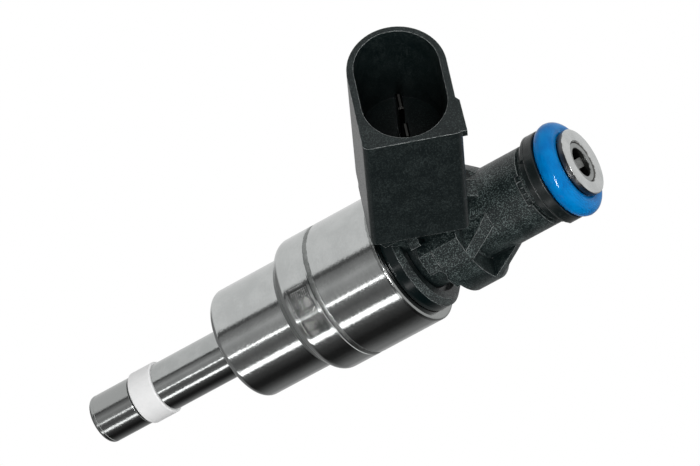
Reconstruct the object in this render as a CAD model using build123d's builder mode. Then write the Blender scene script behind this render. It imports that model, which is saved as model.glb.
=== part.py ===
from build123d import *
from math import cos, radians, sin, sqrt
import os

# Direct-injection fuel injector with a solenoid-driven needle valve, at rest with the valve closed.
# Millimetres. +Z runs up the injector's axis, from the nozzle tip to the fuel inlet. The origin is
# on the axis, in the plane of the shoulder that rests in the cylinder head. The electrical plug
# leans out towards +X, and the injector is symmetrical about the XZ plane apart from small marks.

# Heights along the axis
tip_z = -26.0
housing_z = 12.0
weld_z = 19.05
housing_top_z = 30.5
disc_top_z = 33.2
tab_low_z = 35.3
flange_low_z = 36.9
flange_top_z = 42.0
rib_top_z = 46.5
tube_top_z = 54.1
collar_top_z = 56.8
o_ring_z = 58.27
head_low_z = 59.95
inlet_z = 61.0

# Radii of what shows
shank_r = 3.75
seal_r = 4.1
pole_r = 8.6
housing_r = 10.45
disc_r = 9.2
lip_r = 7.1
neck_r = 6.3
flange_flat_x = 6.95
tube_r = 6.15
collar_r = 6.95
head_r = 5.1
head_bevel = 0.15
o_ring_section_r = 1.66

# Radii inside
seat_body_r = 2.9
nozzle_bore_r = 2.5
needle_r = 1.1
ball_r = 1.6
armature_r = 4.6
core_r = 4.75
housing_bore_r = 9.3
spring_bore_r = 2.4
inlet_tube_r = 4.0
filter_bore_r = 3.1

# Clearances and travels
running_gap = 0.05
seat_gap = 0.02
free_travel = 0.05
needle_lift = 0.07
stop_gap = 0.01

# The plug: its axis leaves the injector's axis plane at plug_angle above the horizontal
plug_angle = 32.6
plug_reach = 37.77
plug_height = 55.25
plug_half_width = 7.04
plug_front = 9.6
plug_depth = 25.2
cavity_half_width = 6.04
cavity_arc_offset = 2.8
cavity_depth = 17.0
pin_pitch = 5.0
rim_bevel_size = 0.75
root_half_width = 4.2
neck_half_width = 3.2
foot_z = 36.5
web_half_width = 1.4
web_offset_y = 0.5

# Stack of parts inside the housing
seat_top_z = -21.0
swirl_top_z = -20.2
guide_top_z = -19.2
seal_low_z = -18.4
seal_high_z = -14.3
nozzle_flange_z = 2.0
nozzle_top_z = 9.0
upper_guide_z = 10.2
shim_top_z = 11.0
lower_flange_z = 13.2
damper_low_z = 14.3
armature_low_z = 15.0
armature_top_z = 22.0
coil_low_z = 20.6
coil_top_z = 28.9
cover_top_z = 30.3
sleeve_low_z = 33.0
sleeve_high_z = 41.0
splice_low_z = 38.0
splice_high_z = 42.0
filter_low_z = 47.0
filter_ring_z = 58.0

cone_half_angle = 45
cone_apex_z = tip_z + 0.75
ball_z = cone_apex_z + (ball_r + seat_gap) / sin(radians(cone_half_angle))
core_low_z = armature_top_z + free_travel + needle_lift + stop_gap
upper_flange_z = armature_top_z + free_travel
upper_flange_top_z = upper_flange_z + 1.15
lead_x = 7.3

plug = Plane(
    origin=(plug_reach, 0, plug_height),
    x_dir=(0, 1, 0),
    z_dir=(cos(radians(plug_angle)), 0, sin(radians(plug_angle))),
)


def section(*corners):
    """A closed half section in the XZ plane. A corner is (radius, height) or adds a rounding."""
    points = [(corner[0], corner[1]) for corner in corners]
    roundings = [corner[2] if len(corner) == 3 else 0 for corner in corners]
    with BuildSketch(Plane.XZ) as outline:
        with BuildLine():
            FilletPolyline(*points, radius=roundings, close=True)
        make_face()
    return outline.sketch


def radial(degrees):
    """The horizontal direction at that angle from +X."""
    return (cos(radians(degrees)), sin(radians(degrees)), 0)


def ring_section(centre_r, centre_z, section_r):
    """The round section of a ring seal."""
    with BuildSketch(Plane.XZ) as outline:
        with Locations((centre_r, centre_z)):
            Circle(section_r)
    return outline.sketch


# ---------------------------------------------------------------- nozzle

with BuildPart() as nozzle_body:
    revolve(
        section(
            (seat_body_r, tip_z),
            (shank_r, tip_z, 0.6),
            (shank_r, tip_z + 0.8),
            (shank_r - 0.06, tip_z + 0.86),
            (shank_r - 0.06, tip_z + 0.92),
            (shank_r, tip_z + 0.98),
            (shank_r, seal_low_z - 0.35, 0.08),
            (seal_r - 0.95, seal_low_z - 0.35),
            (seal_r - 0.95, seal_high_z + 0.1),
            (shank_r, seal_high_z + 0.1),
            (shank_r, nozzle_flange_z),
            (5.5, nozzle_flange_z),
            (5.5, nozzle_top_z),
            (nozzle_bore_r, nozzle_top_z),
            (nozzle_bore_r, guide_top_z),
            (seat_body_r, guide_top_z),
        )
    )

with BuildPart() as valve_seat:
    revolve(
        section(
            (0.3, tip_z),
            (seat_body_r, tip_z, 0.15),
            (seat_body_r, seat_top_z),
            (1.9, seat_top_z),
            (1.9, cone_apex_z + 1.9),
            (0.3, cone_apex_z + 0.3),
        )
    )

with BuildPart() as swirl_disc:
    revolve(
        section(
            (1.9, seat_top_z),
            (seat_body_r, seat_top_z),
            (seat_body_r, swirl_top_z),
            (1.9, swirl_top_z),
        )
    )
    with BuildSketch(Plane.XY.offset(swirl_top_z)):
        with PolarLocations(2.1, 6):
            with Locations((0, 0.25)):
                Rectangle(0.9, 0.3)
    extrude(amount=-0.5, mode=Mode.SUBTRACT)

with BuildPart() as lower_guide_disc:
    with BuildSketch(Plane.XY.offset(swirl_top_z)):
        Circle(seat_body_r)
        Circle(needle_r + running_gap, mode=Mode.SUBTRACT)
        with PolarLocations(2.1, 6):
            Circle(0.35, mode=Mode.SUBTRACT)
    extrude(amount=guide_top_z - swirl_top_z)

with BuildPart() as combustion_seal:
    revolve(
        section(
            (seal_r - 0.95, seal_low_z),
            (seal_r, seal_low_z, 0.25),
            (seal_r, seal_high_z, 0.25),
            (seal_r - 0.95, seal_high_z),
        )
    )

with BuildPart() as nozzle_seal_ring:
    revolve(ring_section(shank_r + 0.42, 1.3, 0.41))

# ---------------------------------------------------------------- magnet circuit and housing

with BuildPart() as outer_pole:
    revolve(
        section(
            (shank_r, 0),
            (pole_r, 0, 1.1),
            (pole_r, housing_z + 1.0),
            (housing_bore_r, housing_z + 1.0),
            (housing_bore_r, coil_low_z - 0.1),
            (armature_r + 0.25, coil_low_z - 0.1),
            (armature_r + 0.25, shim_top_z),
            (5.5, shim_top_z),
            (5.5, nozzle_flange_z),
            (shank_r, nozzle_flange_z),
            (shank_r, 1.8),
            (4.6, 1.8),
            (4.6, 0.8),
            (shank_r, 0.8),
        )
    )

with BuildPart() as upper_guide_disc:
    with BuildSketch(Plane.XY.offset(nozzle_top_z)):
        Circle(5.5)
        Circle(needle_r + running_gap, mode=Mode.SUBTRACT)
        with PolarLocations(3.0, 6):
            Circle(0.7, mode=Mode.SUBTRACT)
    extrude(amount=upper_guide_z - nozzle_top_z)

with BuildPart() as lift_shim:
    with BuildSketch(Plane.XY.offset(upper_guide_z)):
        Circle(5.5)
        Circle(4.4, mode=Mode.SUBTRACT)
    extrude(amount=shim_top_z - upper_guide_z)

# The housing's lower end is a cone with a soft upper corner. A narrow weld runs round it.
with BuildPart() as coil_housing:
    revolve(
        section(
            (pole_r, housing_z),
            (housing_r, housing_z + 1.6, 1.6),
            (housing_r, weld_z - 0.5),
            (housing_r - 0.08, weld_z - 0.42),
            (housing_r - 0.08, weld_z + 0.42),
            (housing_r, weld_z + 0.5),
            (housing_r, housing_top_z, 0.4),
            (housing_bore_r, housing_top_z),
            (housing_bore_r, housing_z + 1.0),
            (pole_r, housing_z + 1.0),
        )
    )

with BuildPart() as pole_spacer_ring:
    with BuildSketch(Plane.XY.offset(coil_low_z - 0.1)):
        Circle(core_r + 0.55)
        Circle(core_r, mode=Mode.SUBTRACT)
    extrude(amount=4.0)

with BuildPart() as coil_bobbin:
    revolve(
        section(
            (core_r + 0.57, coil_low_z),
            (housing_bore_r - 0.1, coil_low_z),
            (housing_bore_r - 0.1, coil_low_z + 0.8),
            (6.0, coil_low_z + 0.8),
            (6.0, coil_top_z - 0.8),
            (housing_bore_r - 0.1, coil_top_z - 0.8),
            (housing_bore_r - 0.1, coil_top_z),
            (core_r + 0.57, coil_top_z),
        )
    )
    with Locations((lead_x, -pin_pitch / 2, coil_top_z), (lead_x, pin_pitch / 2, coil_top_z)):
        Hole(0.45, depth=0.8)

with BuildPart() as coil_winding:
    revolve(
        section(
            (6.0, coil_low_z + 0.8),
            (8.8, coil_low_z + 0.8, 0.3),
            (8.8, coil_top_z - 0.8, 0.3),
            (6.0, coil_top_z - 0.8),
        )
    )

# The two ends of the winding rise through the bobbin's upper flange to the terminals
with BuildPart() as coil_leads:
    with Locations((lead_x, -pin_pitch / 2, coil_top_z - 0.8), (lead_x, pin_pitch / 2, coil_top_z - 0.8)):
        Cylinder(0.3, 1.9, align=(Align.CENTER, Align.CENTER, Align.MIN))

with BuildPart() as coil_cover_ring:
    with BuildSketch(Plane.XY.offset(coil_top_z)):
        Circle(housing_bore_r)
        Circle(core_r, mode=Mode.SUBTRACT)
        with Locations((lead_x, -pin_pitch / 2), (lead_x, pin_pitch / 2)):
            Circle(0.7, mode=Mode.SUBTRACT)
    extrude(amount=cover_top_z - coil_top_z)

with BuildPart() as inner_pole:
    revolve(
        section(
            (spring_bore_r, core_low_z),
            (core_r, core_low_z),
            (core_r, cover_top_z + 0.1),
            (inlet_tube_r + 0.3, housing_top_z + 0.5),
            (inlet_tube_r + 0.3, splice_low_z),
            (3.4, splice_low_z),
            (3.4, splice_high_z),
            (spring_bore_r, splice_high_z),
        )
    )

with BuildPart() as inlet_tube:
    revolve(
        section(
            (3.4, splice_low_z),
            (inlet_tube_r + 0.3, splice_low_z),
            (inlet_tube_r + 0.3, tube_top_z - 2.1),
            (inlet_tube_r, tube_top_z - 1.8),
            (inlet_tube_r, head_low_z),
            (filter_bore_r, head_low_z),
            (filter_bore_r, splice_high_z),
            (3.4, splice_high_z),
        )
    )

with BuildPart() as inlet_head:
    revolve(
        section(
            (filter_bore_r, head_low_z),
            (head_r, head_low_z, 0.12),
            (head_r, inlet_z - head_bevel, 0.1),
            (head_r - head_bevel, inlet_z, 0.1),
            (filter_bore_r + 0.2, inlet_z),
            (filter_bore_r, inlet_z - 0.3),
        )
    )

with BuildPart() as adjusting_sleeve:
    revolve(
        section(
            (1.3, sleeve_low_z),
            (spring_bore_r, sleeve_low_z, 0.2),
            (spring_bore_r, sleeve_high_z, 0.2),
            (1.3, sleeve_high_z),
        )
    )
    with Locations((spring_bore_r, 0, (sleeve_low_z + sleeve_high_z) / 2)):
        Box(2 * spring_bore_r, 0.5, 10, mode=Mode.SUBTRACT)

# ---------------------------------------------------------------- inlet filter

with BuildPart() as filter_ring:
    revolve(
        section(
            (2.2, filter_ring_z),
            (filter_bore_r, filter_ring_z),
            (filter_bore_r, inlet_z - 0.25, 0.2),
            (2.2, inlet_z - 0.25, 0.25),
        )
    )

# A cage of four ribs between two rings, with a tall bar across its mouth
with BuildPart() as filter_cage:
    with BuildSketch(Plane.XY.offset(filter_low_z)):
        Circle(2.6)
    extrude(amount=0.8)
    with BuildSketch(Plane.XY.offset(filter_ring_z - 1.2)):
        Circle(filter_bore_r)
        Circle(2.1, mode=Mode.SUBTRACT)
        Rectangle(4.3, 1.4, rotation=35)
    extrude(amount=1.2)
    with BuildSketch(Plane.XY.offset(filter_ring_z - 0.1)):
        Rectangle(4.06, 1.4, rotation=35)
    extrude(amount=inlet_z - 0.95 - filter_ring_z)
    with BuildSketch(Plane.XY.offset(filter_low_z + 0.8)):
        with PolarLocations(2.25, 4):
            Rectangle(0.6, 0.6)
    extrude(amount=filter_ring_z - filter_low_z - 2.0)

with BuildPart() as filter_mesh:
    with BuildSketch(Plane.XY.offset(filter_low_z + 0.8)):
        Circle(1.9)
        Circle(1.8, mode=Mode.SUBTRACT)
    extrude(amount=filter_ring_z - filter_low_z - 2.0)

# ---------------------------------------------------------------- needle and armature

with BuildPart() as valve_needle:
    with BuildSketch(Plane.XY.offset(ball_z + 1.05)):
        Circle(needle_r)
    extrude(amount=upper_flange_top_z + 0.7 - ball_z - 1.05)

with BuildPart() as needle_ball:
    with Locations((0, 0, ball_z)):
        Sphere(ball_r)
    with BuildSketch(Plane.XY.offset(ball_z + 1.05)):
        Circle(ball_r)
    extrude(amount=ball_r, mode=Mode.SUBTRACT)

with BuildPart() as needle_upper_flange:
    revolve(
        section(
            (needle_r, upper_flange_z),
            (2.1, upper_flange_z, 0.1),
            (2.1, upper_flange_top_z, 0.1),
            (needle_r + 0.22, upper_flange_top_z),
            (needle_r + 0.22, upper_flange_top_z + 0.7),
            (needle_r, upper_flange_top_z + 0.7),
        )
    )

with BuildPart() as armature:
    revolve(
        section(
            (needle_r + running_gap, armature_low_z),
            (armature_r, armature_low_z, 0.3),
            (armature_r, armature_top_z, 0.15),
            (needle_r + running_gap, armature_top_z),
        )
    )
    with PolarLocations(3.1, 5):
        Hole(0.65)

with BuildPart() as needle_lower_flange:
    revolve(
        section(
            (needle_r, lower_flange_z - 0.6),
            (needle_r + 0.5, lower_flange_z - 0.6),
            (needle_r + 0.5, lower_flange_z),
            (2.8, lower_flange_z, 0.1),
            (2.8, damper_low_z, 0.1),
            (needle_r, damper_low_z),
        )
    )

with BuildPart() as damping_ring:
    revolve(
        section(
            (1.5, damper_low_z),
            (2.6, damper_low_z, 0.15),
            (2.6, armature_low_z - stop_gap, 0.15),
            (1.5, armature_low_z - stop_gap),
        )
    )

spring_wire_r = 0.3
spring_coil_r = 1.75
spring_turns = 9
spring_low_z = upper_flange_top_z + spring_wire_r + 0.02
spring_high_z = sleeve_low_z - spring_wire_r - 0.02
with BuildPart() as return_spring:
    with BuildLine(Plane.XY.offset(spring_low_z)) as coil_line:
        Helix((spring_high_z - spring_low_z) / spring_turns, spring_high_z - spring_low_z, spring_coil_r)
    with BuildSketch(Plane(origin=coil_line.line @ 0, z_dir=coil_line.line % 0)):
        Circle(spring_wire_r)
    sweep(path=coil_line.line, is_frenet=True)

# ---------------------------------------------------------------- terminals


def blade(side):
    """One terminal: a post on the coil's lead, then a flat blade along the plug's axis."""
    across = side * pin_pitch / 2
    post_top = plug_height - (plug_reach - lead_x) * sin(radians(plug_angle)) / cos(radians(plug_angle))
    with BuildPart() as pin:
        with BuildSketch(Plane.XY.offset(coil_top_z + 1.1)):
            with Locations((lead_x, across)):
                Rectangle(0.8, 1.2)
        extrude(amount=post_top + 0.3 - coil_top_z - 1.1)
        with BuildSketch(plug.offset((lead_x - plug_reach) / cos(radians(plug_angle)))):
            with Locations((across, 0)):
                Rectangle(1.2, 0.8)
        extrude(amount=12)
        with BuildSketch(plug.offset(-cavity_depth - 8)):
            with Locations((across, 0)):
                Rectangle(2.6, 0.8)
        extrude(amount=17)
        tip_edges = pin.faces().sort_by(Axis(plug.origin, plug.z_dir))[-1].edges()
        chamfer(tip_edges, 0.25)
    return pin.part


terminal_pin_left = blade(1)
terminal_pin_right = blade(-1)

# ---------------------------------------------------------------- plastic body

# The ribs are slices of a cone that runs from the flange's rim up to the tube
with BuildPart() as rib_cone:
    revolve(
        section(
            (core_r, flange_top_z - 0.5),
            (disc_r, flange_top_z - 0.5),
            (disc_r, flange_top_z),
            (tube_r, rib_top_z),
            (core_r, rib_top_z),
        )
    )
    with BuildSketch(Plane.XY.offset(flange_top_z - 0.5)):
        with Locations((4.375, 0), (-2.95, 0)):
            Rectangle(1.55, 4 * disc_r)
    extrude(amount=rib_top_z - flange_top_z + 0.5, mode=Mode.INTERSECT)

# What a bevel takes off the flange's upper rim, on the side away from the plug
with BuildPart() as rim_bevel:
    revolve(
        section(
            (disc_r - rim_bevel_size, flange_top_z + 0.1),
            (disc_r + 0.1, flange_top_z - rim_bevel_size),
            (disc_r + 0.1, flange_top_z + 0.1),
        )
    )
    with BuildSketch(Plane.XY.offset(flange_top_z - 2)):
        with Locations((-3.75 - disc_r, 0)):
            Rectangle(2 * disc_r, 4 * disc_r)
    extrude(amount=3, mode=Mode.INTERSECT)

with BuildPart() as overmould:
    revolve(
        section(
            (core_r + 0.05, housing_top_z),
            (disc_r, housing_top_z, 0.15),
            (disc_r, disc_top_z - 0.8),
            (disc_r - 0.8, disc_top_z),
            (lip_r, disc_top_z, 0.1),
            (lip_r, disc_top_z - 0.9),
            (neck_r, disc_top_z - 0.9),
            (neck_r, flange_low_z),
            (neck_r, flange_top_z),
            (tube_r, flange_top_z + 0.3),
            (tube_r, tube_top_z - 0.75),
            (tube_r - 0.6, tube_top_z - 0.65),
            (tube_r - 0.6, tube_top_z),
            (inlet_tube_r, tube_top_z),
            (inlet_tube_r, tube_top_z - 1.8),
            (inlet_tube_r + 0.3, tube_top_z - 2.1),
            (inlet_tube_r + 0.3, housing_top_z + 0.6),
        )
    )
    # flange that the hold-down clip pushes on, with a tab below each end, cut off flat on the plug's side
    with BuildSketch(Plane.XY.offset(flange_low_z)):
        Circle(disc_r)
        Circle(neck_r - 0.3, mode=Mode.SUBTRACT)
        with Locations((flange_flat_x + 5, 0)):
            Rectangle(10, 4 * disc_r, mode=Mode.SUBTRACT)
    extrude(amount=flange_top_z - flange_low_z)
    for side in (1, -1):
        with BuildSketch(Plane.XY.offset(tab_low_z)):
            with BuildLine():
                inner = CenterArc((0, 0), disc_r - 1.3, side * 30, side * 31)
                outer = CenterArc((0, 0), disc_r, side * 30, side * 31)
                Line(inner @ 0, outer @ 0)
                Line(inner @ 1, outer @ 1)
            make_face()
            with Locations((flange_flat_x + 5, 0)):
                Rectangle(10, 4 * disc_r, mode=Mode.SUBTRACT)
        extrude(amount=flange_low_z - tab_low_z)
        # a round-topped notch beside the tab
        with BuildSketch(Plane(origin=(0, 0, 0), x_dir=(0, 0, 1), z_dir=radial(side * 67)).offset(disc_r + 1)):
            with Locations((flange_low_z - 0.6, 0)):
                Circle(0.95)
        extrude(amount=-3.0, mode=Mode.SUBTRACT)
        # parting line between the flange and its tab
        with BuildSketch(Plane.XY.offset(flange_low_z + 0.5)):
            with BuildLine():
                inner = CenterArc((0, 0), disc_r - 0.1, side * 35, side * 24)
                outer = CenterArc((0, 0), disc_r + 0.3, side * 35, side * 24)
                Line(inner @ 0, outer @ 0)
                Line(inner @ 1, outer @ 1)
            make_face()
        extrude(amount=0.12, mode=Mode.SUBTRACT)
    # the flange is thinner away from the plug, and its upper rim is bevelled there
    with BuildSketch(Plane.XY.offset(flange_low_z)):
        Circle(disc_r + 1)
        Circle(neck_r, mode=Mode.SUBTRACT)
        with Locations((0.5 + 2 * disc_r, 0)):
            Rectangle(4 * disc_r, 4 * disc_r, mode=Mode.SUBTRACT)
    extrude(amount=0.6, mode=Mode.SUBTRACT)
    add(rim_bevel.part, mode=Mode.SUBTRACT)
    add(rib_cone.part)
    # plug: square towards +Y, round towards -Y
    with BuildSketch(plug.offset(-plug_depth)):
        with BuildLine():
            arch = CenterArc((-plug_front + plug_half_width, 0), plug_half_width, 90, 180)
            FilletPolyline(
                arch @ 0,
                (plug_front, plug_half_width),
                (plug_front, -plug_half_width),
                arch @ 1,
                radius=0.9,
            )
        make_face()
    extrude(amount=plug_depth)
    # root of the plug: a thin neck at the axis that widens to carry the plug's closed end
    for half_width, inner_x in ((neck_half_width, 4.5), (root_half_width, 10.5)):
        with BuildSketch(Plane.XZ):
            with BuildLine():
                FilletPolyline(
                    (inner_x, disc_top_z - 0.8),
                    (14.6, disc_top_z - 0.8),
                    (19.6, 35.9),
                    (20.2, 36.6),
                    (16.4, 42.5),
                    (inner_x, 40.5),
                    radius=[0, 2.0, 0, 0, 0, 0],
                    close=True,
                )
            make_face()
        extrude(amount=half_width, both=True)
    # a foot on each side of the neck, level with the flange's tabs
    for side in (1, -1):
        with BuildSketch(Plane.XY.offset(foot_z)):
            with BuildLine():
                inner = CenterArc((0, 0), disc_r - 3.0, side * 10, side * 22)
                outer = CenterArc((0, 0), disc_r - 0.05, side * 10, side * 22)
                Line(inner @ 0, outer @ 0)
                Line(inner @ 1, outer @ 1)
            make_face()
        extrude(amount=-1.6)
    # web from the tube down to the plug's closed end
    with BuildSketch(Plane.XZ.offset(web_offset_y)):
        with BuildLine():
            Polyline(
                (4.8, 40.0),
                (4.8, rib_top_z),
                (tube_r, rib_top_z),
                (12.2, 41.8),
                (17.0, 41.2),
                (16.0, 40.0),
                close=True,
            )
        make_face()
    extrude(amount=web_half_width, both=True)
    # the plug's latch nose
    with BuildSketch(plug.offset(-1.4)):
        with BuildLine():
            Polyline(
                (3.5, plug_half_width - 0.2),
                (4.3, plug_half_width + 0.5),
                (plug_front - 0.2, plug_half_width + 0.6),
                (plug_front - 0.2, plug_half_width - 0.2),
                close=True,
            )
        make_face()
    extrude(amount=1.4)
    # cavity of the plug
    with BuildSketch(plug):
        SlotCenterToCenter(2 * cavity_arc_offset, 2 * cavity_half_width)
    extrude(amount=-cavity_depth, mode=Mode.SUBTRACT)
    # a row of shallow windows part of the way round the top of the tube
    with BuildSketch(Plane.XY.offset(tube_top_z - 1.35)):
        with PolarLocations(tube_r, 5, start_angle=14, angular_range=44):
            Rectangle(0.9, 0.85)
    extrude(amount=0.7, mode=Mode.SUBTRACT)
    # clear the bore and the terminals
    with BuildSketch(Plane.XY.offset(housing_top_z - 1)):
        Circle(inlet_tube_r + 0.3)
    extrude(amount=flange_top_z + 6 - housing_top_z, mode=Mode.SUBTRACT)
    add(terminal_pin_left, mode=Mode.SUBTRACT)
    add(terminal_pin_right, mode=Mode.SUBTRACT)

# ---------------------------------------------------------------- rail seal

with BuildPart() as support_ring:
    revolve(
        section(
            (inlet_tube_r, tube_top_z),
            (tube_r + 0.1, tube_top_z),
            (collar_r, tube_top_z + 0.75),
            (collar_r, collar_top_z - 1.6),
            (collar_r - 0.12, collar_top_z - 1.5),
            (collar_r, collar_top_z - 1.4),
            (collar_r, collar_top_z, 0.15),
            (collar_r - 0.45, collar_top_z),
            (collar_r - 0.45, collar_top_z - 0.8),
            (inlet_tube_r, collar_top_z - 0.8),
        )
    )
    # its lower cone is relieved over a third of the way round
    with BuildSketch(Plane.XY.offset(tube_top_z + 0.05)):
        with BuildLine():
            inner = CenterArc((0, 0), tube_r + 0.15, -4, 124)
            outer = CenterArc((0, 0), collar_r + 0.5, -4, 124)
            Line(inner @ 0, outer @ 0)
            Line(inner @ 1, outer @ 1)
        make_face()
    extrude(amount=1.0, mode=Mode.SUBTRACT)

with BuildPart() as backup_ring:
    with BuildSketch(Plane.XY.offset(collar_top_z - 0.8)):
        Circle(collar_r - 0.5)
        Circle(inlet_tube_r, mode=Mode.SUBTRACT)
    extrude(amount=o_ring_z - o_ring_section_r - collar_top_z + 0.8)

with BuildPart() as rail_o_ring:
    revolve(ring_section(inlet_tube_r + o_ring_section_r, o_ring_z, o_ring_section_r))

# ---------------------------------------------------------------- files

pieces = {
    "nozzle_body": nozzle_body.part,
    "valve_seat": valve_seat.part,
    "swirl_disc": swirl_disc.part,
    "lower_guide_disc": lower_guide_disc.part,
    "combustion_seal": combustion_seal.part,
    "nozzle_seal_ring": nozzle_seal_ring.part,
    "outer_pole": outer_pole.part,
    "upper_guide_disc": upper_guide_disc.part,
    "lift_shim": lift_shim.part,
    "coil_housing": coil_housing.part,
    "pole_spacer_ring": pole_spacer_ring.part,
    "coil_bobbin": coil_bobbin.part,
    "coil_winding": coil_winding.part,
    "coil_leads": coil_leads.part,
    "coil_cover_ring": coil_cover_ring.part,
    "inner_pole": inner_pole.part,
    "inlet_tube": inlet_tube.part,
    "inlet_head": inlet_head.part,
    "adjusting_sleeve": adjusting_sleeve.part,
    "filter_ring": filter_ring.part,
    "filter_cage": filter_cage.part,
    "filter_mesh": filter_mesh.part,
    "valve_needle": valve_needle.part,
    "needle_ball": needle_ball.part,
    "needle_upper_flange": needle_upper_flange.part,
    "armature": armature.part,
    "needle_lower_flange": needle_lower_flange.part,
    "damping_ring": damping_ring.part,
    "return_spring": return_spring.part,
    "terminal_pin_left": terminal_pin_left,
    "terminal_pin_right": terminal_pin_right,
    "overmould": overmould.part,
    "support_ring": support_ring.part,
    "backup_ring": backup_ring.part,
    "rail_o_ring": rail_o_ring.part,
}

os.makedirs("parts", exist_ok=True)
for name, piece in pieces.items():
    piece.label = name
    export_step(piece, f"parts/{name}.step")
    print(name, len(piece.solids()), round(piece.volume, 2))
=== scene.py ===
from math import cos, pi, radians, sin, tau

import bmesh
import bpy
from mathutils import Matrix, Vector


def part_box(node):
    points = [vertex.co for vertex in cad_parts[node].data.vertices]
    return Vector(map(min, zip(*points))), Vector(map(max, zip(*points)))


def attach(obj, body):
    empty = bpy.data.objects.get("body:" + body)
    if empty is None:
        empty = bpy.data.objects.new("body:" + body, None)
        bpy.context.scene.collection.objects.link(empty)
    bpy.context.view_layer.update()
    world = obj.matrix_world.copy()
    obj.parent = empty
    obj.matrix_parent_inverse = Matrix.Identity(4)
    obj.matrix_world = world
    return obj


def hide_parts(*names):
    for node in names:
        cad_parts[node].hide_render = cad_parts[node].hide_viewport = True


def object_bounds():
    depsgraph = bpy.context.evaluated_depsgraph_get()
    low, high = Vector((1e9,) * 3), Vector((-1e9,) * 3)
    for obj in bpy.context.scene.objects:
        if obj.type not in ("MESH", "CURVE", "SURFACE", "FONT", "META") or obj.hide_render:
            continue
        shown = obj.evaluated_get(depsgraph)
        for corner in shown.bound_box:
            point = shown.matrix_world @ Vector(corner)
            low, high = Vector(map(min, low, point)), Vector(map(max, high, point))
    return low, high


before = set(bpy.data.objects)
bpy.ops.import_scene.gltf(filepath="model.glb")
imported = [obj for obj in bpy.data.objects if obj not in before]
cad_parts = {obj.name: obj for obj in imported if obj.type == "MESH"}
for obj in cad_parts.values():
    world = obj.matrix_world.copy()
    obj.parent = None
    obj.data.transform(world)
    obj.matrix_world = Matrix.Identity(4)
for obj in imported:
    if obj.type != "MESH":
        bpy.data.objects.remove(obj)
cad_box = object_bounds()
scene = bpy.context.scene
MM = 0.001


# ---------------------------------------------------------------- node helpers

def add_node(tree, kind, **settings):
    """A shader node with its settings and the values of its unlinked sockets."""
    made = tree.nodes.new("ShaderNode" + kind)
    for name, value in settings.items():
        if hasattr(made, name):
            setattr(made, name, value)
        else:
            made.inputs[name.replace("_", " ").capitalize()].default_value = value
    return made


def math(tree, operation, *values):
    """A math node. A value is a number or another node's socket."""
    made = add_node(tree, "Math", operation=operation)
    for socket, value in zip(made.inputs, values):
        if isinstance(value, (int, float)):
            socket.default_value = value
        else:
            tree.links.new(value, socket)
    return made.outputs[0]


def span(tree, value, low, high, out_low, out_high):
    """The value's share between low and high, as a smooth step from out_low to out_high."""
    made = add_node(tree, "MapRange", interpolation_type="SMOOTHSTEP")
    tree.links.new(value, made.inputs["Value"])
    for name, number in zip(("From Min", "From Max", "To Min", "To Max"), (low, high, out_low, out_high)):
        made.inputs[name].default_value = number
    return made.outputs["Result"]


def ramp(tree, value, stops):
    """A grey or coloured ramp through (position, value) stops."""
    made = add_node(tree, "ValToRGB")
    tree.links.new(value, made.inputs["Fac"])
    elements = made.color_ramp.elements
    while len(elements) < len(stops):
        elements.new(0.5)
    for element, (position, shade) in zip(elements, stops):
        element.position = position
        element.color = (*shade, 1) if isinstance(shade, tuple) else (shade, shade, shade, 1)
    return made.outputs["Color"]


def mix(tree, share, first, second):
    """A colour between first and second. Each is a colour or another node's socket."""
    made = add_node(tree, "Mix", data_type="RGBA")
    for socket, value in ((made.inputs[0], share), (made.inputs[6], first), (made.inputs[7], second)):
        if isinstance(value, (int, float)):
            socket.default_value = value
        elif isinstance(value, tuple):
            socket.default_value = (*value, 1)
        else:
            tree.links.new(value, socket)
    return made.outputs[2]


# ---------------------------------------------------------------- materials

def start_material(name, metallic=0.0, **settings):
    """A Principled material, its tree and its shader. Settings are the shader's own values."""
    material = bpy.data.materials.new(name)
    material.use_nodes = True
    tree = material.node_tree
    shader = tree.nodes["Principled BSDF"]
    shader.inputs["Metallic"].default_value = metallic
    for key, value in settings.items():
        socket = shader.inputs[key.replace("_", " ")]
        socket.default_value = value
    return material, tree, shader


def row_position(tree):
    """Sockets for x, y and z in metres in the object's own frame, and the vector."""
    coordinates = add_node(tree, "TexCoord")
    parts = add_node(tree, "SeparateXYZ")
    tree.links.new(coordinates.outputs["Object"], parts.inputs[0])
    return (*parts.outputs, coordinates.outputs["Object"])


def noise(tree, vector, size_mm, detail=2.0, rough=0.5):
    """Noise whose features are about size_mm across, from 0 to 1."""
    made = add_node(tree, "TexNoise", Scale=1000.0 / size_mm, Detail=detail, Roughness=rough)
    tree.links.new(vector, made.inputs["Vector"])
    return made.outputs["Fac"]


def lathe_vector(tree, x, y, z, along):
    """A vector that hardly changes round the axis, so that noise on it makes turning marks."""
    radius = math(tree, "SQRT", math(tree, "ADD", math(tree, "MULTIPLY", x, x), math(tree, "MULTIPLY", y, y)))
    angle = math(tree, "ARCTAN2", y, x)
    made = add_node(tree, "CombineXYZ")
    tree.links.new(radius, made.inputs[0])
    tree.links.new(math(tree, "MULTIPLY", angle, along * MM), made.inputs[1])
    tree.links.new(z, made.inputs[2])
    return made.outputs[0]


def bump(tree, shader, height, depth_mm, normal=None):
    """Relief of depth_mm from a height between 0 and 1, on top of a normal if one is given."""
    made = add_node(tree, "Bump")
    made.inputs["Strength"].default_value = 1.0
    made.inputs["Distance"].default_value = depth_mm * MM
    tree.links.new(height, made.inputs["Height"])
    if normal is not None:
        tree.links.new(normal, made.inputs["Normal"])
    tree.links.new(made.outputs["Normal"], shader.inputs["Normal"])


def zone(tree, value, low, high, feather):
    """1 where the value is between low and high, fading over feather on each side."""
    rise = span(tree, value, low - feather, low + feather, 0, 1)
    return math(tree, "MULTIPLY", rise, span(tree, value, high - feather, high + feather, 1, 0))


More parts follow.
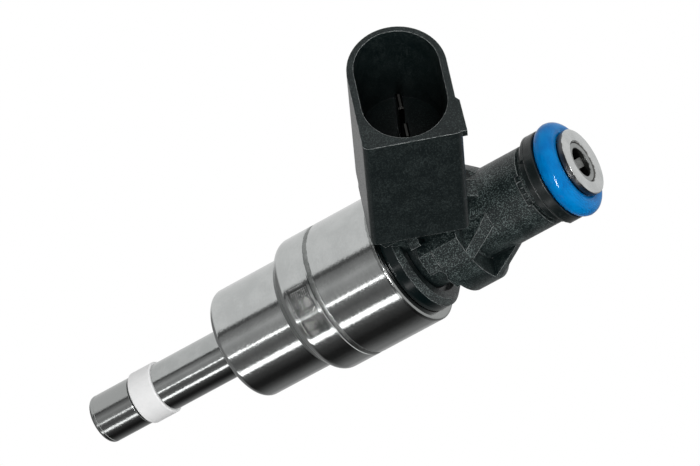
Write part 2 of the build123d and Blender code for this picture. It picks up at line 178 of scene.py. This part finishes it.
CLOUD_MM = 3.2          # faint clouds on metal
RAGGED_MM = 0.4         # how far a patch's edge wanders
PATCH_FEATHER_MM = 0.05
PATCH_FEATHER_TURN = 0.02


def turned_metal(name, dark, light, roughness, grain_mm=0.24, depth=0.010, along=5, patches=()):
    """Turned or ground metal: fine grain drawn out round the axis and faint clouds.

    A patch is (lowest height, highest height, first angle, last angle, roughness, tint), in mm and degrees.
    """
    material, tree, shader = start_material(name, metallic=1.0)
    x, y, z, position = row_position(tree)
    lathe = lathe_vector(tree, x, y, z, along)
    grain = noise(tree, lathe, grain_mm, 2.0, 0.6)
    clouds = noise(tree, position, CLOUD_MM, 3.0)
    tone = math(tree, "ADD", math(tree, "MULTIPLY", grain, 0.3), math(tree, "MULTIPLY", clouds, 0.7))
    colour = mix(tree, span(tree, tone, 0.34, 0.66, 0, 1), dark, light)
    rough = span(tree, grain, 0.3, 0.7, roughness * 0.8, roughness * 1.3)
    wander = math(tree, "SUBTRACT", noise(tree, position, 0.6), 0.5)
    ragged = math(tree, "ADD", z, math(tree, "MULTIPLY", wander, RAGGED_MM * MM))
    turn = math(tree, "ARCTAN2", y, x)
    for low_z, high_z, first, last, patch_roughness, tint in patches:
        share = zone(tree, ragged, low_z * MM, high_z * MM, PATCH_FEATHER_MM * MM)
        if last - first < 360:
            part_way = zone(tree, turn, radians(first), radians(last), PATCH_FEATHER_TURN)
            share = math(tree, "MULTIPLY", share, part_way)
        colour = mix(tree, share, colour, tint)
        rough = math(tree, "ADD", rough, math(tree, "MULTIPLY", share, patch_roughness - roughness))
    tree.links.new(colour, shader.inputs["Base Color"])
    tree.links.new(rough, shader.inputs["Roughness"])
    bump(tree, shader, grain, depth)
    return material


def edge_share(tree, radius_mm):
    """A rounded normal near edges, and how far it turns from the face's own, from 0 to 1."""
    bevel = add_node(tree, "Bevel", samples=6)
    bevel.inputs["Radius"].default_value = radius_mm * MM
    geometry = add_node(tree, "NewGeometry")
    dot = add_node(tree, "VectorMath", operation="DOT_PRODUCT")
    tree.links.new(bevel.outputs[0], dot.inputs[0])
    tree.links.new(geometry.outputs["Normal"], dot.inputs[1])
    return bevel.outputs[0], span(tree, dot.outputs["Value"], 0.99, 0.85, 0, 1)


HOLLOW_REACH_MM = 5
POLISHED_ROUGHNESS = 0.2
SPECKS_LEFT = 0.26      # share of the specks that stays where they fade
FADING_MM = 2


def openness(tree, reach_mm):
    """1 on open faces and outer edges, falling in corners and hollows; it sets where shade is painted."""
    hollow = add_node(tree, "AmbientOcclusion", samples=8, only_local=True)
    hollow.inputs["Distance"].default_value = reach_mm * MM
    return hollow.outputs["AO"]


def moulded(
    name, dark, light, edge, roughness, speck_mm=0.26, depth=0.010, edge_mm=0.13,
    speckled=(0.54, 0.80), glossy=None, smoother_beyond=None, **settings
):
    """Moulded plastic: fine pale specks faded in hollows as painted shade, a satin skin, and outer edges
    painted paler, partly wear and partly a painted highlight.

    Speckled is where the specks' noise starts and ends, glossy the heights of a polished band, and beyond
    smoother_beyond along X the specks fade, all in mm.
    """
    material, tree, shader = start_material(name, **settings)
    x, _, z, position = row_position(tree)
    specks = noise(tree, position, speck_mm, 2.0, 0.7)
    clouds = noise(tree, position, 2.6, 3.0)
    tone = math(tree, "ADD", math(tree, "MULTIPLY", specks, 0.9), math(tree, "MULTIPLY", clouds, 0.2))
    tone = span(tree, tone, *speckled, 0, 1)
    bare = openness(tree, HOLLOW_REACH_MM)
    # Painted shade: the pale specks fade in hollows and corners, where little light reaches
    tone = math(tree, "MULTIPLY", tone, span(tree, bare, 0.25, 0.8, 0.1, 1))
    if smoother_beyond:
        nearest, furthest = (smoother_beyond - FADING_MM) * MM, (smoother_beyond + FADING_MM) * MM
        fading = span(tree, x, nearest, furthest, 1, SPECKS_LEFT)
        tone = math(tree, "MULTIPLY", tone, fading)
    rough = span(tree, specks, 0.3, 0.7, roughness * 1.15, roughness * 0.8)
    height = specks
    if glossy:
        polished = zone(tree, z, glossy[0] * MM, glossy[1] * MM, 0.1 * MM)
        dull = math(tree, "SUBTRACT", 1.0, polished)
        tone = math(tree, "MULTIPLY", tone, dull)
        smoothed = math(tree, "MULTIPLY", polished, roughness - POLISHED_ROUGHNESS)
        rough = math(tree, "SUBTRACT", rough, smoothed)
        height = math(tree, "MULTIPLY", specks, math(tree, "ADD", 0.15, math(tree, "MULTIPLY", dull, 0.85)))
    # Painted highlight and wear: outer edges are painted paler where the rounded normal turns from the face
    rounded, edge_highlight_and_wear = edge_share(tree, edge_mm)
    edge_highlight_and_wear = math(tree, "MULTIPLY", edge_highlight_and_wear, span(tree, noise(tree, position, 0.45, 2.0), 0.35, 0.6, 0.3, 1))
    edge_highlight_and_wear = math(tree, "MULTIPLY", edge_highlight_and_wear, span(tree, bare, 0.6, 0.85, 0, 1))
    colour = mix(tree, edge_highlight_and_wear, mix(tree, tone, dark, light), edge)
    tree.links.new(colour, shader.inputs["Base Color"])
    tree.links.new(rough, shader.inputs["Roughness"])
    bump(tree, shader, height, depth, rounded)
    return material


def smooth_rubber(name, dark, light, roughness, **settings):
    """Moulded rubber: a smooth skin with a faint mottle."""
    material, tree, shader = start_material(name, **settings)
    *_, position = row_position(tree)
    mottle = noise(tree, position, 1.8, 3.0)
    fine = noise(tree, position, 0.14, 2.0)
    tone = math(tree, "ADD", math(tree, "MULTIPLY", mottle, 0.7), math(tree, "MULTIPLY", fine, 0.3))
    tree.links.new(mix(tree, span(tree, tone, 0.35, 0.65, 0, 1), dark, light), shader.inputs["Base Color"])
    tree.links.new(span(tree, fine, 0.3, 0.7, roughness * 0.8, roughness * 1.2), shader.inputs["Roughness"])
    bump(tree, shader, fine, 0.0012)
    return material


# Heights along the axis and angles round it where the surface changes, in mm and degrees, read from the
# photograph. They are the CAD model's own heights.
ALL_ROUND = (-180, 180)
DISC_SIDE = (30.3, 32.3)
PLUG_ROOT_X = 9
HOUSING_FOOT = (11.5, 13.25)
PEENED_PATCH = (14.75, 18.15, 15.5, 56.5)
HOUSING_RIM = (29.85, 31)
NOZZLE_END = (-27, -18.6)
HEAD_SIDE = (59.5, 60.82)
FILTER_BORE = (57, 60.62)

materials = {
    "steel_satin": turned_metal("satin_steel", (0.52, 0.535, 0.53), (0.59, 0.605, 0.60), 0.10),
    "steel_fine": turned_metal("ground_steel", (0.43, 0.445, 0.44), (0.50, 0.515, 0.51), 0.10, depth=0.008),
    "steel_soft": turned_metal("soft_steel", (0.34, 0.34, 0.34), (0.50, 0.50, 0.49), 0.28),
    "steel_spring": turned_metal("spring_steel", (0.38, 0.38, 0.39), (0.56, 0.56, 0.57), 0.2),
    "mesh_steel": turned_metal("mesh_steel", (0.4, 0.4, 0.4), (0.62, 0.62, 0.6), 0.25),
    "copper": turned_metal("enamelled_copper", (0.45, 0.16, 0.06), (0.78, 0.36, 0.17), 0.22),
    # The pins' tinned copper is painted near black: painted shade deep in the socket
    "tinned": turned_metal("tinned_copper_painted_dark", (0.022, 0.022, 0.021), (0.05, 0.05, 0.048), 0.3),
    "plastic_black": moulded(
        "black_nylon", (0.0016, 0.0048, 0.0052), (0.112, 0.140, 0.136), (0.42, 0.45, 0.445), 0.36,
        speck_mm=0.18, depth=0.018, speckled=(0.53, 0.72), glossy=DISC_SIDE, smoother_beyond=PLUG_ROOT_X,
        Specular_IOR_Level=0.31
    ),
    "plastic_collar": moulded(
        "black_collar", (0.004, 0.0068, 0.0070), (0.022, 0.028, 0.028), (0.12, 0.125, 0.125), 0.32,
        speck_mm=0.35, Specular_IOR_Level=0.4
    ),
    "plastic_white": moulded(
        "ptfe", (0.72, 0.725, 0.725), (0.76, 0.76, 0.76), (0.80, 0.80, 0.80), 0.45,
        speck_mm=0.8, depth=0.002, edge_mm=0.05, speckled=(0.3, 0.8)
    ),
    "bobbin_plastic": moulded(
        "natural_nylon", (0.60, 0.56, 0.46), (0.74, 0.70, 0.60), (0.8, 0.78, 0.7), 0.4,
        speck_mm=0.8, depth=0.004, edge_mm=0.05, speckled=(0.3, 0.8)
    ),
    "rubber_blue": smooth_rubber(
        "blue_rubber", (0.0, 0.135, 0.41), (0.0, 0.185, 0.50), 0.07, Specular_IOR_Level=0.08
    ),
    "rubber_black": smooth_rubber("black_rubber", (0.008, 0.008, 0.009), (0.02, 0.02, 0.021), 0.4),
}
# The housing's rounded lower end is duller, its top rim is painted dark as a reflection of the black plastic
# above it, and a dark field lies beside the weld
housing_steel = turned_metal(
    "housing_steel", (0.52, 0.535, 0.53), (0.59, 0.605, 0.60), 0.10,
    patches=[
        (*HOUSING_FOOT, *ALL_ROUND, 0.42, (0.42, 0.435, 0.43)),
        (*PEENED_PATCH, 0.12, (0.30, 0.31, 0.305)),
        # Painted reflection: the rim is tinted dark for the black plastic that it mirrors
        (*HOUSING_RIM, *ALL_ROUND, 0.14, (0.30, 0.31, 0.305)),
    ],
)
# The nozzle's end is a little darker, and the head's side is rough and painted dark, a painted reflection of
# the dark surroundings that it mirrors
nozzle_steel = turned_metal(
    "nozzle_steel", (0.44, 0.455, 0.45), (0.51, 0.525, 0.52), 0.10, depth=0.008,
    patches=[(*NOZZLE_END, *ALL_ROUND, 0.13, (0.385, 0.395, 0.39))]
)
head_steel = turned_metal(
    "head_steel", (0.52, 0.535, 0.53), (0.64, 0.655, 0.65), 0.2,
    # Painted reflection: the head's side is tinted near black
    patches=[(*HEAD_SIDE, *ALL_ROUND, 0.32, (0.13, 0.127, 0.122))]
)
# The filter's ring is painted darker, darkest inside its bore and groove: painted shade of the deep bore
bore_steel_painted_shade = turned_metal(
    "bore_steel_painted_shade", (0.26, 0.27, 0.265), (0.34, 0.35, 0.345), 0.2,
    # Painted shade: the bore and the groove round the ring are tinted near black
    patches=[(*FILTER_BORE, *ALL_ROUND, 0.3, (0.05, 0.052, 0.05))]
)
# The filter's cage is nylon painted dark grey: painted shade deep in the inlet bore
cage_nylon = moulded(
    "cage_nylon", (0.07, 0.074, 0.072), (0.17, 0.175, 0.17), (0.3, 0.3, 0.29), 0.4,
    speck_mm=0.35, depth=0.01, edge_mm=0.06, speckled=(0.35, 0.7)
)
NODE_MATERIALS = {
    "filter_cage": cage_nylon,
    "coil_housing": housing_steel,
    "filter_ring": bore_steel_painted_shade,
    "nozzle_body": nozzle_steel,
    "inlet_head": head_steel,
}

for name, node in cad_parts.items():
    slot_name = node.material_slots[0].material.name.split(".")[0]
    for material_slot in node.material_slots:
        material_slot.link = "OBJECT"
        material_slot.material = NODE_MATERIALS.get(name, materials[slot_name])


# ---------------------------------------------------------------- pieces

def add_piece(name, points, faces, slot_name, replaced=(), material=None):
    """A smooth mesh piece on the body, from points in mm, with its material or the material of the named
    slot.
    """
    mesh = bpy.data.meshes.new(name)
    mesh.from_pydata([(px * MM, py * MM, pz * MM) for px, py, pz in points], [], faces)
    mesh.validate()
    shaped = bmesh.new()
    shaped.from_mesh(mesh)
    bmesh.ops.recalc_face_normals(shaped, faces=shaped.faces)
    shaped.to_mesh(mesh)
    shaped.free()
    for polygon in mesh.polygons:
        polygon.use_smooth = True
    mesh.materials.append(material or materials[slot_name])
    piece = bpy.data.objects.new(name, mesh)
    scene.collection.objects.link(piece)
    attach(piece, "body")
    if replaced:
        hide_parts(*replaced)
    return piece


def turn_profile(rings):
    """Points and faces of a surface through rings of points of one length, closed both ways."""
    points = [point for ring in rings for point in ring]
    across = len(rings[0])
    faces = []
    for i in range(len(rings)):
        following = (i + 1) % len(rings)
        for j in range(across):
            k = (j + 1) % across
            faces.append((i * across + j, following * across + j, following * across + k, i * across + k))
    return points, faces


def join(parts):
    """Several sets of points and faces as one."""
    points, faces = [], []
    for some_points, some_faces in parts:
        offset = len(points)
        points += some_points
        faces += [tuple(index + offset for index in face) for face in some_faces]
    return points, faces


def wire(line, radius, sides=6):
    """A round wire along a line of points, with a flat cap on each end."""
    rings = []
    for i, point in enumerate(line):
        here = Vector(point)
        ahead = Vector(line[min(i + 1, len(line) - 1)])
        behind = Vector(line[max(i - 1, 0)])
        along = (ahead - behind).normalized()
        out = Vector((here.x, here.y, 0)).normalized()
        out = (out - along * out.dot(along)).normalized()
        side = along.cross(out)
        ring = []
        for k in range(sides):
            around_wire = tau * k / sides
            ring.append(tuple(here + out * radius * cos(around_wire) + side * radius * sin(around_wire)))
        rings.append(ring)
    points, faces = turn_profile(rings)
    faces = [face for face in faces if max(face) - min(face) < sides * 2]
    first = tuple(range(sides))
    last = tuple(range(len(points) - sides, len(points)))
    return points, faces + [first, last]


def box_mm(node):
    """A node's box as lowest and highest corners in mm."""
    corner_low, corner_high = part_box(node)
    return corner_low / MM, corner_high / MM


# O-ring: a round section with the fine ridge that its mould leaves inside and outside, in mm
ring_low, ring_high = box_mm("rail_o_ring")
ring_z = (ring_low.z + ring_high.z) / 2
ring_section = (ring_high.z - ring_low.z) / 2
ring_r = ring_high.x - ring_section
O_RING_STEPS, O_RING_SIDES, RIDGE = 160, 72, 0.022
rings = []
for i in range(O_RING_STEPS):
    turn_angle = tau * i / O_RING_STEPS
    ring = []
    for j in range(O_RING_SIDES):
        around_angle = tau * j / O_RING_SIDES
        ridge = RIDGE if j in (0, O_RING_SIDES // 2) else 0
        section_r = ring_section - RIDGE + ridge
        r = ring_r + section_r * cos(around_angle)
        ring.append((r * cos(turn_angle), r * sin(turn_angle), ring_z + section_r * sin(around_angle)))
    rings.append(ring)
o_ring = add_piece("blue_o_ring", *turn_profile(rings), "rubber_blue", replaced=["rail_o_ring"])

# Weld bead: lies in the housing's groove, with the ripples of a laser weld
housing_low, housing_high = box_mm("coil_housing")
housing_r = housing_high.x
WELD_HEIGHT = 7.05      # of its middle above the housing's lower end
WELD_HALF_WIDTH = 0.47
WELD_STEPS = 900
WELD_ACROSS = 8
WELD_SUNK = 0.085       # the bead's edges lie this far inside the housing's radius
WELD_CREST, WELD_RIPPLE, WELD_RIPPLES = 0.045, 0.018, 150
WELD_LAG = 0.012        # turn by which a ripple's ends trail its middle
rings = []
for i in range(WELD_STEPS):
    turn_angle = tau * i / WELD_STEPS
    sway = 0.05 * sin(7 * turn_angle + 0.6) + 0.035 * sin(23 * turn_angle) + 0.03 * sin(61 * turn_angle + 1.1)
    ripple = 0.5 + 0.5 * sin(WELD_RIPPLES * turn_angle)
    ring = []
    for j in range(WELD_ACROSS + 1):
        share = j / WELD_ACROSS * 2 - 1
        crest = (1 - share * share) * (WELD_CREST + WELD_RIPPLE * ripple)
        r = housing_r - WELD_SUNK + crest
        angle = turn_angle + WELD_LAG * share * share
        height = housing_low.z + WELD_HEIGHT + share * (WELD_HALF_WIDTH - 0.09)
        height += sway * (1 - abs(share) * 0.3)
        ring.append((r * cos(angle), r * sin(angle), height))
    for share in (1, -1):
        r = housing_r - 0.12
        height = housing_low.z + WELD_HEIGHT + share * (WELD_HALF_WIDTH - 0.12)
        ring.append((r * cos(turn_angle), r * sin(turn_angle), height))
    rings.append(ring)
weld_steel = turned_metal(
    "weld_steel", (0.20, 0.21, 0.205), (0.34, 0.35, 0.345), 0.36, grain_mm=0.3, depth=0.012, along=6
)
add_piece("weld_bead", *turn_profile(rings), "steel_satin", material=weld_steel)

# Peened field beside the weld: rows of small raised dots, a few of them missing
DOT_PITCH, DOT_R, DOT_HEIGHT, DOT_SIDES = 0.32, 0.115, 0.018, 7
DOT_LEVELS = ((1.0, -0.1), (0.75, 0.75), (0.0, 1.0))      # shares of the radius and of the height
FIELD_LOW, FIELD_HIGH = 2.6, 6.3                          # above the housing's lower end
FIELD_FIRST, FIELD_LAST = 14, 58                          # degrees
dots = []
columns = int(radians(FIELD_LAST - FIELD_FIRST) * housing_r / DOT_PITCH)
rows = int((FIELD_HIGH - FIELD_LOW) / DOT_PITCH)
for column in range(columns):
    for row in range(rows):
        if (column * 7919 + row * 104729 + column * row * 31) % 10 > 8:
            continue
        angle = radians(FIELD_FIRST) + column * DOT_PITCH / housing_r
        height = housing_low.z + FIELD_LOW + row * DOT_PITCH
        dot = []
        for spread, rise in DOT_LEVELS:
            r = housing_r + DOT_HEIGHT * rise
            for k in range(DOT_SIDES if spread else 1):
                around_dot = tau * k / DOT_SIDES
                across = angle + DOT_R * spread * cos(around_dot) / housing_r
                dot.append((r * cos(across), r * sin(across), height + DOT_R * spread * sin(around_dot)))
        sides = [(k, (k + 1) % DOT_SIDES) for k in range(DOT_SIDES)]
        skirt = [(k, after, DOT_SIDES + after, DOT_SIDES + k) for k, after in sides]
        cap = [(DOT_SIDES + k, DOT_SIDES + after, 2 * DOT_SIDES) for k, after in sides]
        dots.append((dot, skirt + cap))
peened_steel = turned_metal("peened_steel", (0.08, 0.085, 0.085), (0.62, 0.63, 0.62), 0.12, grain_mm=0.4)
add_piece("peened_field", *join(dots), "steel_satin", material=peened_steel)

# Coil: two layers of enamelled wire, wound side by side over a core of the same
coil_low, coil_high = box_mm("coil_winding")
WIRE_R, COIL_LAYERS, COIL_STEPS = 0.15, 2, 40
CORE_R, CORE_STEPS = 6.0, 64
parts = []
for layer in range(COIL_LAYERS):
    coil_r = coil_high.x - WIRE_R * (1 + 1.75 * layer)
    turns = int((coil_high.z - coil_low.z - 2 * WIRE_R) / (2.04 * WIRE_R))
    pitch = (coil_high.z - coil_low.z - 2 * WIRE_R) / turns
    line = []
    for i in range(turns * COIL_STEPS + 1):
        angle = tau * i / COIL_STEPS * (1 if layer % 2 else -1)
        line.append((coil_r * cos(angle), coil_r * sin(angle), coil_low.z + WIRE_R + pitch * i / COIL_STEPS))
    parts.append(wire(line, WIRE_R))
core_outer = coil_high.x - WIRE_R * 3.4
corners = [(CORE_R, coil_low.z), (core_outer, coil_low.z), (core_outer, coil_high.z), (CORE_R, coil_high.z)]
core = []
for i in range(CORE_STEPS):
    angle = tau * i / CORE_STEPS
    core.append([(r * cos(angle), r * sin(angle), height) for r, height in corners])
parts.append(turn_profile(core))
add_piece("wound_coil", *join(parts), "copper", replaced=["coil_winding"])

# Filter: a woven sleeve of fine wires, each passing over and under those that it crosses
sleeve_low, sleeve_high = box_mm("filter_mesh")
WEAVE_R, WEAVE_WIRES, WEAVE_ROWS, WEAVE_SIDES = 0.035, 36, 48, 4
sleeve_r = sleeve_high.x - 2.1 * WEAVE_R
row_pitch = (sleeve_high.z - sleeve_low.z - 2 * WEAVE_R) / (WEAVE_ROWS - 1)
parts = []
for i in range(WEAVE_WIRES):
    angle = tau * i / WEAVE_WIRES
    line = []
    for j in range(WEAVE_ROWS * 2 - 1):
        r = sleeve_r + WEAVE_R * 0.9 * cos(pi * j / 2 + pi * i)
        line.append((r * cos(angle), r * sin(angle), sleeve_low.z + WEAVE_R + row_pitch * j / 2))
    parts.append(wire(line, WEAVE_R, WEAVE_SIDES))
for j in range(WEAVE_ROWS):
    line = []
    for i in range(WEAVE_WIRES * 2 + 1):
        angle = pi * i / WEAVE_WIRES
        r = sleeve_r - WEAVE_R * 0.9 * cos(pi * i / 2 + pi * j)
        line.append((r * cos(angle), r * sin(angle), sleeve_low.z + WEAVE_R + row_pitch * j))
    parts.append(wire(line, WEAVE_R, WEAVE_SIDES))
add_piece("woven_filter", *join(parts), "mesh_steel", replaced=["filter_mesh"])


# ---------------------------------------------------------------- floor, light and camera

CAMERA_PLACE = Vector((0.74763, 0.51431, 0.43712))
CAMERA_BACK = Vector((0.7458, 0.5214, 0.4147)).normalized()
CAMERA_UP = Vector((0.3408, -0.8335, 0.4351))
CAMERA_LENS, CAMERA_SENSOR = 355.07, 36
FLOOR_DROP = 0.5 * MM
FLOOR_HALF = 3.0

camera_data = bpy.data.cameras.new("photo_camera")
camera_data.sensor_width = CAMERA_SENSOR
camera_data.lens = CAMERA_LENS
camera_data.clip_start = 0.01
camera_data.clip_end = 20
camera = bpy.data.objects.new("photo_camera", camera_data)
scene.collection.objects.link(camera)
up = (CAMERA_UP - CAMERA_BACK * CAMERA_UP.dot(CAMERA_BACK)).normalized()
right = up.cross(CAMERA_BACK)
camera.matrix_world = Matrix((
    (right.x, up.x, CAMERA_BACK.x, CAMERA_PLACE.x),
    (right.y, up.y, CAMERA_BACK.y, CAMERA_PLACE.y),
    (right.z, up.z, CAMERA_BACK.z, CAMERA_PLACE.z),
    (0, 0, 0, 1),
))
scene.camera = camera

low, high = cad_box
floor_mesh = bpy.data.meshes.new("floor")
floor_z = low.z - FLOOR_DROP
floor_corners = [(a * FLOOR_HALF, b * FLOOR_HALF, floor_z) for a, b in ((-1, -1), (1, -1), (1, 1), (-1, 1))]
floor_mesh.from_pydata(floor_corners, [], [(0, 1, 2, 3)])
floor = bpy.data.objects.new("floor", floor_mesh)
scene.collection.objects.link(floor)
floor_material = bpy.data.materials.new("floor_white")
floor_material.use_nodes = True
floor_tree = floor_material.node_tree
floor_tree.nodes.clear()
floor_glow = add_node(floor_tree, "Emission")
floor_glow.inputs["Strength"].default_value = 1.0
floor_out = add_node(floor_tree, "OutputMaterial")
floor_tree.links.new(floor_glow.outputs[0], floor_out.inputs[0])
floor_mesh.materials.append(floor_material)
for flag in ("visible_diffuse", "visible_glossy", "visible_transmission", "visible_shadow"):
    setattr(floor, flag, False)

# The studio round the object: a white tent on one side, a dark side with two strip lights in it.
# Each stop is an angle from X in degrees and the brightness there. STUDIO_SCALE is above the brightest.
STUDIO_SCALE = 8.0
OVERHEAD, UNDERNEATH = 0.80, 0.22
TENT = [
    (-180, 0.24), (-173, 0.35), (-161, 0.44), (-150, 0.52), (-146, 0.60), (-140, 0.80), (-12.5, 0.80),
    (-9, 0.12), (-4, 0.07), (0, 0.20), (7, 0.27), (13, 0.36), (19, 0.48), (25, 0.40), (31, 0.36), (37, 0.38),
    (49, 0.22), (56, 0.15), (62, 0.12), (75, 0.20), (96, 0.12), (103, 0.06), (115, 0.034), (121, 0.018),
    (134, 0.018), (145, 0.06), (157, 0.14), (169, 0.22), (180, 0.24),
]
STRIPS = [
    (-180, 0.0), (42.0, 0.0), (42.6, 3.2), (45.0, 3.2), (45.6, 0.0),
    (79.0, 0.0), (80, 2.4), (89, 2.4), (90, 0.0),
]


def around(stops):
    """The stops as positions on a ramp that goes once round, from -X."""
    return [(degrees / 360 + 0.5, value / STUDIO_SCALE) for degrees, value in stops]


world = bpy.data.worlds.new("studio")
scene.world = world
world.use_nodes = True
sky = world.node_tree
sky.nodes.clear()
direction = add_node(sky, "TexCoord")
split = add_node(sky, "SeparateXYZ")
sky.links.new(direction.outputs["Generated"], split.inputs[0])
bearing = math(sky, "ARCTAN2", split.outputs[1], split.outputs[0])
turn = math(sky, "ADD", math(sky, "DIVIDE", bearing, tau), 0.5)
up_share = split.outputs[2]
tent = ramp(sky, turn, around(TENT))
strips = ramp(sky, turn, around(STRIPS))
overhead = span(sky, up_share, 0.12, 0.42, 0, 1)
tent = mix(sky, overhead, tent, (OVERHEAD / STUDIO_SCALE,) * 3)
underneath = span(sky, up_share, -0.62, -0.82, 0, 1)
tent = mix(sky, underneath, tent, (UNDERNEATH / STUDIO_SCALE,) * 3)
# The strips hang only where the upright sides mirror them
strip_height = math(
    sky, "MULTIPLY", span(sky, up_share, -0.70, -0.60, 0, 1), span(sky, up_share, -0.1, -0.25, 0, 1)
)
strips = mix(sky, strip_height, (0.0, 0.0, 0.0), strips)
both = add_node(sky, "Mix", data_type="RGBA", blend_type="ADD")
both.inputs[0].default_value = 1.0
sky.links.new(tent, both.inputs[6])
sky.links.new(strips, both.inputs[7])
glow = add_node(sky, "Background")
sky.links.new(both.outputs[2], glow.inputs["Color"])
glow.inputs["Strength"].default_value = STUDIO_SCALE
plain = add_node(sky, "Background")
plain.inputs["Color"].default_value = (1, 1, 1, 1)
plain.inputs["Strength"].default_value = 1.0
path = add_node(sky, "LightPath")
choice = add_node(sky, "MixShader")
sky.links.new(path.outputs["Is Camera Ray"], choice.inputs[0])
sky.links.new(glow.outputs[0], choice.inputs[1])
sky.links.new(plain.outputs[0], choice.inputs[2])
world_out = add_node(sky, "OutputWorld")
sky.links.new(choice.outputs[0], world_out.inputs[0])


LIGHT_DISTANCE = 0.6


def soft_light(name, towards, width, length, power, along=(0, 0, 1), glossy=False):
    """A rectangular area light in the direction towards, its long side along."""
    data = bpy.data.lights.new(name, "AREA")
    data.shape = "RECTANGLE"
    data.size, data.size_y = width, length
    data.energy = power
    light = bpy.data.objects.new(name, data)
    scene.collection.objects.link(light)
    back = Vector(towards).normalized()
    long_side = (Vector(along) - back * back.dot(Vector(along))).normalized()
    short_side = long_side.cross(back)
    turned = Matrix((short_side, long_side, back)).transposed().to_4x4()
    light.matrix_world = Matrix.Translation(back * LIGHT_DISTANCE + (low + high) / 2) @ turned
    light.visible_camera = False
    light.visible_glossy = glossy
    return light


# The key is a long narrow box that leans, and the fill and the top light show in no reflection
KEY_TOWARDS, KEY_LEAN = (0.636, 0.710, 0.302), (-0.322, 0.52, -0.50)
soft_light("key", KEY_TOWARDS, 0.035, 0.34, 2.3, KEY_LEAN, True)
# The glint only puts the wide highlight on the blue ring
glint = soft_light("glint", KEY_TOWARDS, 0.12, 0.30, 10.0, KEY_LEAN, True)
glint.visible_diffuse = False
lit = bpy.data.collections.new("glint_on_ring")
lit.objects.link(o_ring)
glint.light_linking.receiver_collection = lit
soft_light("fill", (0.45, 0.85, -0.1), 0.5, 0.5, 0.3)
soft_light("top", (-0.25, -0.55, 0.8), 0.5, 0.5, 0.5)

scene.view_settings.view_transform = "Standard"
